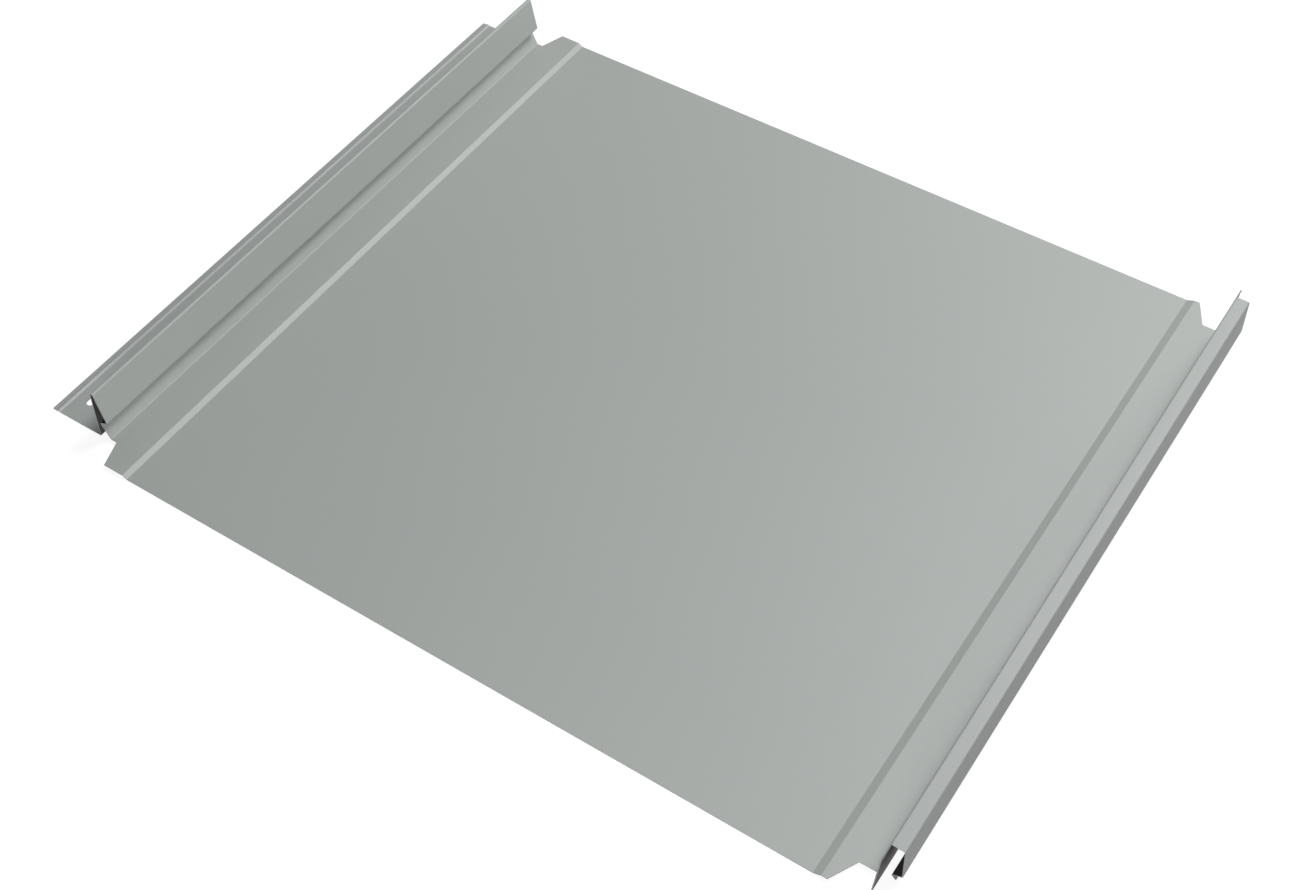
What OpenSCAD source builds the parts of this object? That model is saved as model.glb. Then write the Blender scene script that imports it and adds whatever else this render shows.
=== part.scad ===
// Standing seam roof panel: one roll-formed sheet with a male rib and a slotted
// fixing flange on its left edge, and a hooked female seam on its right edge.
// X runs across the panel, Y along its seams, and Z up from the deck it lies on.

/* [Panel] */
// Length of the panel along its seams
panel_l = 449; // [200:1:3000]
// Cover width: spacing of the seams once panels are laid side by side
cover_w = 504; // [300:1:700]
// Thickness of the coated sheet
sheet_t = 0.6; // [0.45:0.05:0.75]
// Inside radius of the roll-formed bends
bend_r = 0.5; // [0.3:0.1:1]

/* [Edge strips] */
// Rise of the flat strips beside the seams above the pan
strip_rise = 1.9; // [1.5:0.1:4]
// Width of the strip beside the male rib
male_strip_w = 23.2; // [20:0.1:40]
// Width of the strip beside the female seam
female_strip_w = 23.7; // [15:0.1:40]
// Run of the slope from the male side's strip down to the pan
male_slope_w = 2.9; // [2:0.1:6]
// Run of the slope from the pan up to the female side's strip
female_slope_w = 4.4; // [2:0.1:6]

/* [Male rib] */
// Height of the rib above the pan
rib_h = 37.5; // [30:0.1:45]
// Width of the rib's foot, from its root bend to its flange bend
rib_foot_w = 8.8; // [8.4:0.1:9.4]
// Width of the narrow fold along the rib's top
rib_top_w = 2.3; // [1.6:0.1:2.6]
// Lean of the rib's flange side web, from its foot to its top
rib_lean = 2.9; // [2.4:0.1:3.6]
// Height of the bulge that the female hook snaps under
bulge_h = 15.1; // [13:0.1:18]
// How far the bulge stands out past the rib's root bend
bulge_out = 0.9; // [0.6:0.1:1.4]
// Width of the shelf under the bulge
shelf_w = 5.6; // [4.6:0.1:6]
// Drop of the shelf from the bulge to its inner corner
shelf_drop = 2.7; // [2.5:0.1:4.5]

/* [Fixing flange] */
// Width of the flange, from the rib's foot to its free edge
flange_w = 37; // [30:0.1:50]
// Width of the flat lip outside the stiffening bead
flange_lip_w = 3; // [2:0.1:6]
// Height of the stiffening bead
bead_h = 1; // [0.8:0.1:1.6]
// Width of each of the bead's sloping sides
bead_side_w = 0.9; // [0.8:0.1:2]
// Width of the bead's top, between the sides
bead_top_w = 0.8; // [0.8:0.1:1.6]
// Width of a fixing slot
slot_w = 4.5; // [4:0.1:8]
// Length of a fixing slot, end to end
slot_l = 32; // [15:1:40]
// Spacing of the fixing slots
slot_pitch = 120; // [60:1:300]
// Distance of the slots' centreline from the flange's free edge
slot_edge = 15; // [12:0.1:18]
// Least length of plain flange between a slot and the flange's end
slot_end_gap = 10; // [6:1:30]

/* [Female seam] */
// Clearance between the seam and the rib of the next panel
seam_gap = 0.2; // [0.1:0.05:0.4]
// Height of the play between the hook's nose and the shelf it catches
hook_gap = 0.4; // [0.2:0.05:0.8]
// Lean of the seam's inner web, from its root to the top
seam_lean = 2.1; // [1:0.1:2.4]
// How far the seam's outer web spreads from the top to its hook
seam_spread = 0.9; // [0:0.1:1.6]
// Rise of the hook from its nose to the outer web
hook_rise = 2.8; // [2:0.1:3.4]
// Run of the folded return below the nose
return_w = 2.4; // [1.6:0.1:2.8]
// Drop of the folded return below the nose
return_h = 2.6; // [2:0.1:3.8]

/* [End notches] */
// Depth of the notches that free the ends of the pan
notch_l = 16; // [10:1:30]
// Width of male side strip left at the very end of the panel
male_tongue_w = 13.7; // [6:0.1:14]
// Flare of the male side notch, from the end to its full depth
male_flare_w = 5.5; // [2:0.1:6]
// Width of female side strip left at the very end of the panel
female_tongue_w = 3.4; // [2:0.1:6]
// Flare of the female side notch, from the end to its full depth
female_flare_w = 8.4; // [4:0.1:9]
// Distance of the female box's cut from the panel's front end
seam_front_cut = 14.5; // [11:0.5:30]
// Distance of the female box's cut from the panel's back end
seam_back_cut = 19.5; // [14:0.5:34]
// Length of inner web left standing past the front cut
front_tab_l = 9; // [0:0.5:10]
// Length of inner web left standing past the back cut
back_tab_l = 7; // [0:0.5:10]

/* [Hidden] */
bend_steps = 5;
slot_fn = 48;
// Overrun that carries a cutting tool past the face it starts from
over = 2;

// Male edge, from the free edge of the flange to the foot of the pan's slope.
// All of the section's named points lie on the painted face, whose pan is at z = 0.
strip_x = -male_slope_w;
root_x = strip_x - male_strip_w;
foot_x = root_x - rib_foot_w;
rib_top_x = foot_x + rib_lean;
bulge_x = root_x + bulge_out;
shelf_x = bulge_x - shelf_w;
shelf_h = bulge_h - shelf_drop;
edge_x = foot_x - flange_w;
bead_x = edge_x + flange_lip_w;

// Female edge, which closes over the rib of the next panel, one cover width away. Its
// pan lies on the bead of that panel's flange, so it stands higher by the lap's lift.
lap_lift = bead_h + sheet_t;
web_x = foot_x + cover_w - seam_gap - sheet_t;
pan_w = web_x - female_strip_w - female_slope_w;
seam_h = rib_h + seam_gap + sheet_t - lap_lift;
seam_out_x = bulge_x + cover_w + seam_gap + sheet_t;
nose_h = shelf_h - hook_gap - sheet_t - lap_lift;
// The nose's round outer bend takes back about half a sheet of its sharp corner
nose_t = sheet_t / 2;
// Where the next rib's lower web stands at a given height
function lower_web_x(h) = shelf_x + (shelf_h - h) / (shelf_h - strip_rise) * (root_x - shelf_x);
nose_x = lower_web_x(nose_h + lap_lift) + cover_w + seam_gap + nose_t;

male_path = [
    [edge_x, 0],
    [bead_x, 0],
    [bead_x + bead_side_w, bead_h],
    [bead_x + bead_side_w + bead_top_w, bead_h],
    [bead_x + 2 * bead_side_w + bead_top_w, 0],
    [foot_x, 0],
    [rib_top_x, rib_h],
    [rib_top_x + rib_top_w, rib_h],
    [bulge_x, bulge_h],
    [shelf_x, shelf_h],
    [root_x, strip_rise],
    [strip_x, strip_rise],
    [0, 0]
];
female_path = [
    [pan_w, 0],
    [pan_w + female_slope_w, strip_rise],
    [web_x, strip_rise],
    [web_x + seam_lean, seam_h],
    [seam_out_x - seam_spread, seam_h],
    [seam_out_x, nose_h + hook_rise],
    [nose_x, nose_h],
    [nose_x + return_w, nose_h - return_h]
];
painted_path = concat(male_path, female_path);

function unit(v) = v / norm(v);
function left_of(v) = [-v.y, v.x];
// Corner b of the path a-b-c, moved sideways by d, to the left where d is positive
function mitred(a, b, c, d) =
    let (n1 = left_of(unit(b - a)), n2 = left_of(unit(c - b)))
    b + d * (n1 + n2) / (1 + n1 * n2);
function moved_path(p, d) =
    let (last = len(p) - 1)
    [for (i = [0:last])
        i == 0 ? p[0] + d * left_of(unit(p[1] - p[0])) :
        i == last ? p[last] + d * left_of(unit(p[last] - p[last - 1])) :
        mitred(p[i - 1], p[i], p[i + 1], d)];
// Largest share of a flat that one bend may use up, so that bends never meet
bend_share = 0.45;
// Stations round the bend at b: each is a point on the sheet's middle and its left normal
function bend_stations(a, b, c) =
    let (
        u1 = unit(b - a),
        u2 = unit(c - b),
        turn = atan2(cross(u1, u2), u1 * u2),
        side = sign(turn),
        half_tan = tan(abs(turn) / 2),
        room = bend_share * min(norm(b - a), norm(c - b)) / half_tan,
        r = min(bend_r + sheet_t / 2, room),
        centre = b - u1 * r * half_tan + side * r * left_of(u1),
        start = atan2(u1.y, u1.x)
    )
    [for (k = [0:bend_steps])
        let (h = start + turn * k / bend_steps, n = [-sin(h), cos(h)])
        [centre - side * r * n, n]];
function sheet_stations(p) =
    let (last = len(p) - 1)
    concat(
        [[p[0], left_of(unit(p[1] - p[0]))]],
        [for (i = [1:last - 1]) each bend_stations(p[i - 1], p[i], p[i + 1])],
        [[p[last], left_of(unit(p[last] - p[last - 1]))]]
    );
stations = sheet_stations(moved_path(painted_path, -sheet_t / 2));
painted_side = [for (s = stations) s[0] + s[1] * sheet_t / 2];
backed_side = [for (s = stations) s[0] - s[1] * sheet_t / 2];
section = concat(painted_side, [for (i = [len(backed_side) - 1:-1:0]) backed_side[i]]);

// The origin is the middle of the outline, on the deck under the pan
section_x = [for (p = section) p.x];
middle_x = (min(section_x) + max(section_x)) / 2;
low_x = min(section_x) - over;
high_x = max(section_x) + over;
low_z = -sheet_t - over;
high_z = seam_h + over;
slot_run = panel_l - 2 * (notch_l + slot_end_gap) - slot_l;
slot_count = floor(slot_run / slot_pitch) + 1;

// A section drawn in X and Z, drawn out along the seams from y = from to y = to
module along_seam(from, to)
    translate([0, to, 0]) rotate([90, 0, 0]) linear_extrude(to - from) children();

module sheet() along_seam(0, panel_l) polygon(section);

// What one end of the pan loses on each side, as seen from above, from the end inwards
module pan_notches() {
    male_x = strip_x - male_tongue_w;
    female_x = pan_w + female_slope_w + female_tongue_w;
    translate([0, 0, low_z]) linear_extrude(high_z - low_z) {
        polygon([
            [low_x, -over],
            [male_x, -over],
            [male_x, 0],
            [male_x - male_flare_w, notch_l],
            [low_x, notch_l]
        ]);
        polygon([
            [web_x, -over],
            [female_x, -over],
            [female_x, 0],
            [female_x + female_flare_w, notch_l],
            [web_x, notch_l]
        ]);
    }
}

// What one end of the female seam loses: the box as far as its cut, and the inner
// web as far as its tab
module seam_notches(cut, tab_l) {
    along_seam(-over, cut) polygon([
        [web_x + sheet_t, strip_rise],
        [web_x + sheet_t, low_z],
        [high_x, low_z],
        [high_x, high_z],
        [web_x + sheet_t + seam_lean, high_z],
        [web_x + sheet_t + seam_lean, seam_h]
    ]);
    translate([web_x - over, -over, low_z])
        cube([high_x - web_x + over, cut - tab_l + over, high_z - low_z]);
}

module end_notches(cut, tab_l) {
    pan_notches();
    seam_notches(cut, tab_l);
}

// One fixing slot with round ends, its length along the seam
module fixing_slot() {
    span = slot_l - slot_w;
    depth = over - low_z;
    translate([-slot_w / 2, -span / 2, low_z]) cube([slot_w, span, depth]);
    for (y = [-span / 2, span / 2])
        translate([0, y, low_z]) cylinder(h = depth, d = slot_w, $fn = slot_fn);
}

module roof_panel() {
    color([0.64, 0.66, 0.65])
    translate([-middle_x, -panel_l / 2, sheet_t])
    difference() {
        sheet();
        end_notches(seam_front_cut, front_tab_l);
        translate([0, panel_l, 0]) mirror([0, 1, 0]) end_notches(seam_back_cut, back_tab_l);
        for (i = [0:slot_count - 1])
            translate([
                edge_x + slot_edge,
                panel_l / 2 + (i - (slot_count - 1) / 2) * slot_pitch,
                0
            ]) fixing_slot();
    }
}

roof_panel();
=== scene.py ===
import math

import bmesh
import bpy
from mathutils import Matrix, Vector


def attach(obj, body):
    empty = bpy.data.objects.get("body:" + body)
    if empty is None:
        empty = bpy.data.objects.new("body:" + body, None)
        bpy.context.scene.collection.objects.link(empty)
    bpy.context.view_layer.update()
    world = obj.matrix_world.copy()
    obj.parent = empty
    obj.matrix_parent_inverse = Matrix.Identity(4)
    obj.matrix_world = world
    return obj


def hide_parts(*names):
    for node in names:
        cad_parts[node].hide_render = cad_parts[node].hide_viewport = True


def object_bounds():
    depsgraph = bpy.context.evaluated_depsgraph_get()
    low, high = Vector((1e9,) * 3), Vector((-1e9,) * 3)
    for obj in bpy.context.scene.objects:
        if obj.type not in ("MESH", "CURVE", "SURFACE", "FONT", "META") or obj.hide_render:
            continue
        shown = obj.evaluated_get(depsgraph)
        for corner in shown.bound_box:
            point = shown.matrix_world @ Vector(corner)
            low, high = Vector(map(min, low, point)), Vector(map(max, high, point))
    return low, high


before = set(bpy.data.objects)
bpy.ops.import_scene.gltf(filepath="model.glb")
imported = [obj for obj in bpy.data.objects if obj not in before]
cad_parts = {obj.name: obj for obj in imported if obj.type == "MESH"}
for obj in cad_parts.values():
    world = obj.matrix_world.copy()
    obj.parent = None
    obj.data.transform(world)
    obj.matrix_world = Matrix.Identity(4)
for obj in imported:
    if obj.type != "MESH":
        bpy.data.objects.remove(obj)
cad_low, cad_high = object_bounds()


# ------------------------------------------------------------------ the formed sheet
# The whole panel is one strip of steel, coated first and then run through rolls that
# fold its two edges: the male rib with its slotted fixing flange on the left, and the
# hooked female seam on the right. Its coated face is folded here, in millimetres.
MM = 0.001
GAUGE = 0.6
INSIDE_BEND = 0.5
BEND_FACETS = 8
BEND_SHARE = 0.47  # the most of a flat that one bend may take, so that two never meet
SAME_PLACE = GAUGE / 100
panel_l = (cad_high.y - cad_low.y) / MM

# Folds of the coated face, left to right: place across, and height above the pan.
FLANGE_EDGE = (-71.9, 0.0)
SEAM_ROOT = (468.3, 1.9)
SEAM_TOP_LEFT = (470.4, 36.7)
flange_folds = [FLANGE_EDGE, (-68.9, 0.0), (-68.4, 0.75), (-67.6, 0.75), (-66.4, 0.0)]
rib_folds = [
    (-34.9, 0.0), (-32.0, 37.5), (-29.7, 37.5), (-25.2, 15.1), (-30.8, 12.4), (-26.1, 1.9),
]
pan_folds = [(-2.9, 1.9), (0.0, 0.0), (440.2, 0.0), (444.6, 1.9)]
seam_folds = [
    SEAM_ROOT, SEAM_TOP_LEFT, (478.7, 36.7), (479.6, 12.6), (474.15, 9.8), (476.55, 7.2),
]
folds = [Vector(place) for place in flange_folds + rib_folds + pan_folds + seam_folds]

coated = bmesh.new()
near_corners = [coated.verts.new((fold.x, 0, fold.y)) for fold in folds]
section = [coated.edges.new(pair) for pair in zip(near_corners, near_corners[1:])]
drawn = bmesh.ops.extrude_edge_only(coated, edges=section)["geom"]
far_corners = [part for part in drawn if isinstance(part, bmesh.types.BMVert)]
bmesh.ops.translate(coated, verts=far_corners, vec=(0, panel_l, 0))
coated.normal_update()
if max(coated.faces, key=lambda face: face.calc_area()).normal.z < 0:
    bmesh.ops.reverse_faces(coated, faces=coated.faces)

for before, fold, after in zip(folds, folds[1:], folds[2:]):
    turn = (after - fold).angle_signed(fold - before)
    # the coated face is outside a bend that turns down, and inside one that turns up
    radius = INSIDE_BEND + (GAUGE if turn < 0 else 0)
    room = BEND_SHARE * min((fold - before).length, (after - fold).length)
    bend_line = [
        edge for edge in coated.edges
        if all((end.co.xz - fold).length < SAME_PLACE for end in edge.verts)
    ]
    bmesh.ops.bevel(
        coated, geom=bend_line, affect="EDGES",
        offset=min(radius * math.tan(abs(turn) / 2), room),
        offset_type="OFFSET", segments=BEND_FACETS, profile=0.5, material=-1,
        clamp_overlap=False,
    )


# ------------------------------------------------------------------ the notched ends
# Shears cut both ends after forming, so that the pan can be folded down at an eave or
# up at a ridge. Rib, flange and strips stop short of the pan's end, the female box is
# cut back, and a tab of its inner web is left standing.
NOTCH_L = 16.0
LEFT_TONGUE_X = -16.6
LEFT_FLARE_W = 5.5
RIGHT_TONGUE_X = 448.0
RIGHT_FLARE_W = 8.4
NEAR_BOX_CUT, NEAR_TAB_L = 14.5, 9.0
FAR_BOX_CUT, FAR_TAB_L = 19.5, 7.0

web_foot = Vector((SEAM_ROOT[0], 0, SEAM_ROOT[1]))
web_rise = Vector((SEAM_TOP_LEFT[0], 0, SEAM_TOP_LEFT[1])) - web_foot
into_box = web_rise.cross(Vector((0, -1, 0))).normalized()
TOUCHING = GAUGE / 500
CUT_TOLERANCE = 1e-4


def middle(face):
    return face.calc_center_median()


def shear(faces, point, keep):
    """Cuts faces along the plane through point, and gives those on the side away from keep."""
    touched = dict.fromkeys(part for face in faces for part in (face, *face.edges, *face.verts))
    cut = bmesh.ops.bisect_plane(
        coated, geom=list(touched), dist=CUT_TOLERANCE, plane_co=point, plane_no=keep,
    )
    cut_faces = [part for part in cut["geom"] if isinstance(part, bmesh.types.BMFace)]
    return [f for f in cut_faces if (middle(f) - Vector(point)).dot(Vector(keep)) < 0]


def scrap(faces):
    bmesh.ops.delete(coated, geom=faces, context="FACES")


for end_y, inward, box_cut, tab_l in (
    (0, 1, NEAR_BOX_CUT, NEAR_TAB_L), (panel_l, -1, FAR_BOX_CUT, FAR_TAB_L),
):
    # the left edge, as far as the strip beside the rib
    left_edge = [f for f in coated.faces if middle(f).x < LEFT_TONGUE_X / 2]
    ends = shear(left_edge, (0, end_y + inward * NOTCH_L, 0), (0, inward, 0))
    scrap(shear(ends, (LEFT_TONGUE_X, end_y, 0), (NOTCH_L, inward * LEFT_FLARE_W, 0)))

    # the strip beside the female seam, as far as its root
    right_strip = [
        f for f in coated.faces
        if middle(f).x > RIGHT_TONGUE_X and (middle(f) - web_foot).dot(into_box) < -TOUCHING
    ]
    ends = shear(right_strip, (0, end_y + inward * NOTCH_L, 0), (0, inward, 0))
    scrap(shear(ends, (RIGHT_TONGUE_X, end_y, 0), (-NOTCH_L, inward * RIGHT_FLARE_W, 0)))

    # the female box, flush with the back of its inner web
    box = [f for f in coated.faces if (middle(f) - web_foot).dot(into_box) > TOUCHING]
    ends = shear(box, (0, end_y + inward * box_cut, 0), (0, inward, 0))
    scrap(shear(ends, web_foot + GAUGE * into_box, -into_box))

    # the inner web, past its tab
    web = [f for f in coated.faces if abs((middle(f) - web_foot).dot(into_box)) < GAUGE]
    web = [f for f in web if middle(f).x > SEAM_ROOT[0]]
    scrap(shear(web, (0, end_y + inward * (box_cut - tab_l), 0), (0, inward, 0)))


# ------------------------------------------------------------------ the fixing slots
# A row of round-ended slots is punched through the flange beside the rib. A screw in
# the middle of each holds the panel down and still lets it grow and shrink in the sun.
SLOT_W, SLOT_L = 4.5, 32.0
SLOT_FROM_EDGE = 15.0
SLOT_PITCH, SLOT_COUNT = 120.0, 4
PARTED_AT = 0.6 * SLOT_L  # from a slot's middle, so that only a short piece of flange is cut
ROUND_FACETS = 12
LEVEL = 0.999  # the least that a level face's normal rises

for number in range(SLOT_COUNT):
    slot_y = panel_l / 2 + (number - (SLOT_COUNT - 1) / 2) * SLOT_PITCH
    slot = Vector((FLANGE_EDGE[0] + SLOT_FROM_EDGE, slot_y, 0))
    punched = [
        f for f in coated.faces
        if f.normal.z > LEVEL and middle(f).z < TOUCHING
        and min(v.co.x for v in f.verts) < slot.x < max(v.co.x for v in f.verts)
        and min(v.co.y for v in f.verts) < slot.y < max(v.co.y for v in f.verts)
    ]
    for side in (-1, 1):
        punched = shear(punched, slot + side * Vector((0, PARTED_AT, 0)), (0, side, 0))
    for side in (-1, 1):
        punched = shear(punched, slot + side * Vector((SLOT_W / 2, 0, 0)), (side, 0, 0))
        round_end = slot + side * Vector((0, (SLOT_L - SLOT_W) / 2, 0))
        for step in range(ROUND_FACETS):
            angle = math.pi * ((step + 0.5) / ROUND_FACETS - 0.5)
            outward = Vector((math.sin(angle), side * math.cos(angle), 0))
            punched = shear(punched, round_end + outward * SLOT_W / 2, outward)
    scrap(punched)


# ------------------------------------------------------------------ gauge and finishes
# The coated face gets its 0.6 mm of steel behind it. The weather side is a satin light
# grey enamel, the back a thin dark grey wash coat, and the sheared edges show the zinc
# and steel between the two.
WEATHER_GREY = (0.340, 0.360, 0.347, 1)
WEATHER_ROUGHNESS = 0.5
GLOSS_SWING = 0.02
BACKING_GREY = (0.074, 0.075, 0.075, 1)
BACKING_ROUGHNESS = 0.55
BACKING_SPECULAR = 0.1
SHEARED_ZINC = (0.22, 0.225, 0.225, 1)
ZINC_ROUGHNESS = 0.45
ZINC_METALLIC = 0.4
NOISE_MIDDLE = (0.25, 0.75)
EVEN = (1, 1, 1)
ALONG_ROLLING = (1, 0.04, 1)
ALONG_STREAKS = (1, 0.1, 1)
EASED_EDGE = 0.06
SHARP_EDGE = math.radians(60)


def finish(name, colour, roughness, metallic=0.0):
    """A new finish of one plain colour, with its shader ready for detail."""
    material = bpy.data.materials.new(name)
    material.use_nodes = True
    shader = material.node_tree.nodes["Principled BSDF"]
    shader.inputs["Base Color"].default_value = colour
    shader.inputs["Roughness"].default_value = roughness
    shader.inputs["Metallic"].default_value = metallic
    return material


def grain(material, stretch, scale, detail=2.0):
    """A noise over the sheet, drawn out by stretch, as a factor from about 0 to 1."""
    nodes, links = material.node_tree.nodes, material.node_tree.links
    place = nodes.new("ShaderNodeTexCoord")
    drawn_out = nodes.new("ShaderNodeMapping")
    drawn_out.inputs["Scale"].default_value = stretch
    noise = nodes.new("ShaderNodeTexNoise")
    noise.inputs["Scale"].default_value = scale
    noise.inputs["Detail"].default_value = detail
    links.new(place.outputs["Object"], drawn_out.inputs["Vector"])
    links.new(drawn_out.outputs["Vector"], noise.inputs["Vector"])
    return noise.outputs["Fac"]


def span(material, factor, low, high):
    """Turns a noise's middle half into the span from low to high."""
    spread = material.node_tree.nodes.new("ShaderNodeMapRange")
    spread.inputs["From Min"].default_value = NOISE_MIDDLE[0]
    spread.inputs["From Max"].default_value = NOISE_MIDDLE[1]
    spread.inputs["To Min"].default_value = low
    spread.inputs["To Max"].default_value = high
    material.node_tree.links.new(factor, spread.inputs["Value"])
    return spread.outputs["Result"]


def shade(material, factor):
    """Multiplies the finish's colour by a factor that changes over the sheet."""
    nodes, links = material.node_tree.nodes, material.node_tree.links
    shader = nodes["Principled BSDF"]
    mix = nodes.new("ShaderNodeMix")
    mix.data_type = "RGBA"
    mix.blend_type = "MULTIPLY"
    mix.inputs["Factor"].default_value = 1
    mix.inputs["A"].default_value = shader.inputs["Base Color"].default_value
    links.new(factor, mix.inputs["B"])
    links.new(mix.outputs["Result"], shader.inputs["Base Color"])


def relief(material, factor, height):
    """Raises the surface by a noise of this height, in metres."""
    nodes, links = material.node_tree.nodes, material.node_tree.links
    bump = nodes.new("ShaderNodeBump")
    bump.inputs["Strength"].default_value = 1
    bump.inputs["Distance"].default_value = height
    links.new(factor, bump.inputs["Height"])
    links.new(bump.outputs["Normal"], nodes["Principled BSDF"].inputs["Normal"])


# the enamel: broad faint clouds, a fine orange peel, and gloss drawn out along the rolls
weather_coat = finish("weather_side_enamel", WEATHER_GREY, WEATHER_ROUGHNESS)
weather_clouds = grain(weather_coat, EVEN, scale=5)
shade(weather_coat, span(weather_coat, weather_clouds, low=0.985, high=1.015))
orange_peel = grain(weather_coat, EVEN, scale=700, detail=3)
relief(weather_coat, orange_peel, height=0.012 * MM)
roll_lines = grain(weather_coat, ALONG_ROLLING, scale=160, detail=3)
weather_gloss = span(
    weather_coat, roll_lines,
    low=WEATHER_ROUGHNESS - GLOSS_SWING, high=WEATHER_ROUGHNESS + GLOSS_SWING,
)
weather_shader = weather_coat.node_tree.nodes["Principled BSDF"]
weather_coat.node_tree.links.new(weather_gloss, weather_shader.inputs["Roughness"])

# the wash coat: thin and dull, with streaks along the sheet where it was rolled on
backing_coat = finish("backing_wash_coat", BACKING_GREY, BACKING_ROUGHNESS)
backing_shader = backing_coat.node_tree.nodes["Principled BSDF"]
backing_shader.inputs["Specular IOR Level"].default_value = BACKING_SPECULAR
wash_streaks = grain(backing_coat, ALONG_STREAKS, scale=60, detail=3)
shade(backing_coat, span(backing_coat, wash_streaks, low=0.93, high=1.07))
wash_texture = grain(backing_coat, EVEN, scale=900, detail=3)
relief(backing_coat, wash_texture, height=0.01 * MM)

# the cut edge: torn zinc and steel, in fine specks
cut_edge = finish("sheared_zinc_edge", SHEARED_ZINC, ZINC_ROUGHNESS, ZINC_METALLIC)
metal_specks = grain(cut_edge, EVEN, scale=900, detail=3)
shade(cut_edge, span(cut_edge, metal_specks, low=0.8, high=1.1))

panel_mesh = bpy.data.meshes.new("coated_panel")
bmesh.ops.scale(coated, vec=(MM, MM, MM), verts=coated.verts)
bmesh.ops.translate(
    coated, verts=coated.verts,
    vec=(cad_low.x - FLANGE_EDGE[0] * MM, cad_low.y, cad_low.z + GAUGE * MM),
)
for face in coated.faces:
    face.smooth = True
coated.to_mesh(panel_mesh)
coated.free()
for material in (weather_coat, backing_coat, cut_edge):
    panel_mesh.materials.append(material)
panel = bpy.data.objects.new("coated_panel", panel_mesh)
bpy.context.scene.collection.objects.link(panel)

steel = panel.modifiers.new("steel", "SOLIDIFY")
steel.thickness = GAUGE * MM
steel.offset = -1
steel.use_even_offset = True
steel.use_quality_normals = True
steel.material_offset = 1
steel.material_offset_rim = 2
burr = panel.modifiers.new("eased_edges", "BEVEL")
burr.width = EASED_EDGE * MM
burr.segments = 2
burr.limit_method = "ANGLE"
burr.angle_limit = SHARP_EDGE
burr.use_clamp_overlap = False
flats = panel.modifiers.new("flat_faces", "WEIGHTED_NORMAL")
flats.keep_sharp = True

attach(panel, "root")
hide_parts("roof_panel")


# ------------------------------------------------------------------ floor and light
# The panel lies on a wide pale floor in a plain studio. Eyes and reflections see the
# floor and the room white, with the panel's shadow on the floor. A large softbox stands
# high behind the panel, and two small ones stand low behind and in front of it.
FLOOR_REACH = 30.0
FLOOR_GREY = 0.2
FLOOR_ROUGHNESS = 0.9
FLOOR_GLOW = 0.9
ROOM_LIGHT = 0.05
WHITE = (1, 1, 1, 1)

floor_mesh = bpy.data.meshes.new("studio_floor")
floor_shape = bmesh.new()
bmesh.ops.create_grid(floor_shape, x_segments=1, y_segments=1, size=FLOOR_REACH)
floor_shape.to_mesh(floor_mesh)
floor_shape.free()
floor = bpy.data.objects.new("studio_floor", floor_mesh)
bpy.context.scene.collection.objects.link(floor)


def seen(tree, unseen_value, seen_value):
    """One value for the rays that light things, and another for those that show things."""
    rays = tree.nodes.new("ShaderNodeLightPath")
    shown = tree.nodes.new("ShaderNodeMath")
    shown.operation = "ADD"
    tree.links.new(rays.outputs["Is Camera Ray"], shown.inputs[0])
    tree.links.new(rays.outputs["Is Glossy Ray"], shown.inputs[1])
    all_shown = tree.nodes.new("ShaderNodeMath")
    all_shown.operation = "ADD"
    tree.links.new(shown.outputs["Value"], all_shown.inputs[0])
    tree.links.new(rays.outputs["Is Transmission Ray"], all_shown.inputs[1])
    value = tree.nodes.new("ShaderNodeMapRange")
    value.inputs["To Min"].default_value = unseen_value
    value.inputs["To Max"].default_value = seen_value
    tree.links.new(all_shown.outputs["Value"], value.inputs["Value"])
    return value.outputs["Result"]


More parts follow.
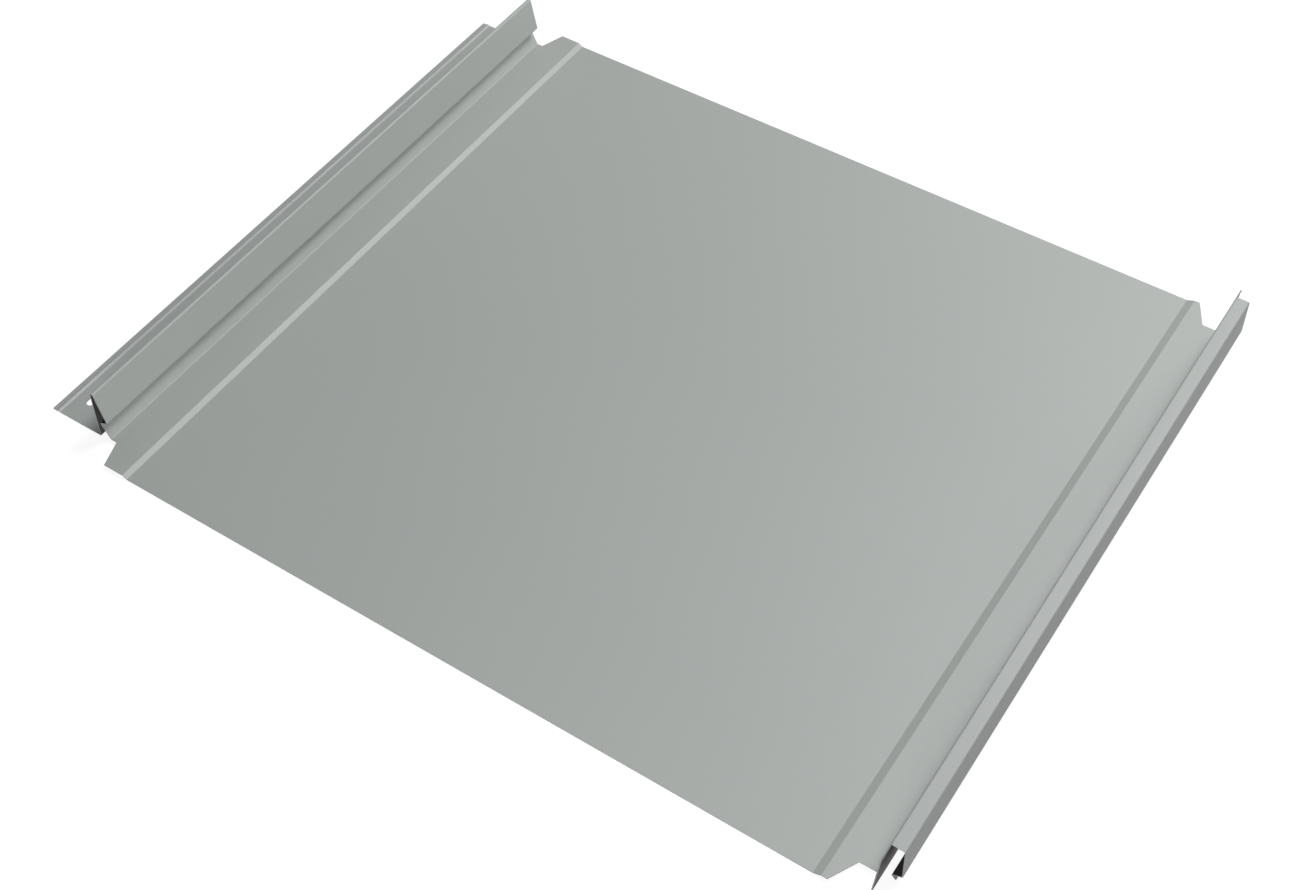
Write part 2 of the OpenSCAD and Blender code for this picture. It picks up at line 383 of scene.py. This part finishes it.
floor_paint = finish("floor_paint", (FLOOR_GREY, FLOOR_GREY, FLOOR_GREY, 1), FLOOR_ROUGHNESS)
floor_shader = floor_paint.node_tree.nodes["Principled BSDF"]
floor_shader.inputs["Specular IOR Level"].default_value = 0
floor_shader.inputs["Emission Color"].default_value = WHITE
floor_paint.node_tree.links.new(
    seen(floor_paint.node_tree, 0, FLOOR_GLOW), floor_shader.inputs["Emission Strength"]
)
floor_mesh.materials.append(floor_paint)

room = bpy.data.worlds.new("studio_room")
room.use_nodes = True
room_light = room.node_tree.nodes["Background"]
room_light.inputs["Color"].default_value = WHITE
room.node_tree.links.new(
    seen(room.node_tree, ROOM_LIGHT, 1), room_light.inputs["Strength"]
)
bpy.context.scene.world = room


def softbox(name, place, width, watts):
    """A square soft lamp at this place, turned to the middle of the panel."""
    lamp = bpy.data.lights.new(name, "AREA")
    lamp.shape = "SQUARE"
    lamp.size = width
    lamp.energy = watts
    stand = bpy.data.objects.new(name, lamp)
    stand.location = place
    stand.rotation_euler = (-Vector(place)).to_track_quat("-Z", "Y").to_euler()
    bpy.context.scene.collection.objects.link(stand)


softbox("high_softbox", place=(0.429, 1.157, 1.964), width=0.77, watts=47.3)
softbox("low_back_softbox", place=(0.365, 0.792, 0.096), width=0.17, watts=1.9)
softbox("low_front_softbox", place=(0.306, -0.915, 0.177), width=0.34, watts=5.3)


# ------------------------------------------------------------------ camera
# The camera stands high in front of the panel and to its right, and looks down at the
# middle of the pan. Colours are shown as they are, in the standard view.
SENSOR_W, FOCAL_LENGTH = 36.0, 52.81
CAMERA_PLACE = (0.4058, -0.6191, 0.8325)
LOOKS_LEFT = math.radians(33.338)
LOOKS_DOWN = math.radians(50.435)
LEANS = math.radians(-0.345)

camera_data = bpy.data.cameras.new("studio_camera")
camera_data.sensor_width = SENSOR_W
camera_data.lens = FOCAL_LENGTH
camera = bpy.data.objects.new("studio_camera", camera_data)
bpy.context.scene.collection.objects.link(camera)
turned = Matrix.Rotation(LOOKS_LEFT, 4, "Z")
tipped = Matrix.Rotation(math.radians(90) - LOOKS_DOWN, 4, "X")
rolled = Matrix.Rotation(LEANS, 4, "Z")
camera.matrix_world = Matrix.Translation(CAMERA_PLACE) @ turned @ tipped @ rolled
bpy.context.scene.camera = camera
bpy.context.scene.view_settings.view_transform = "Standard"
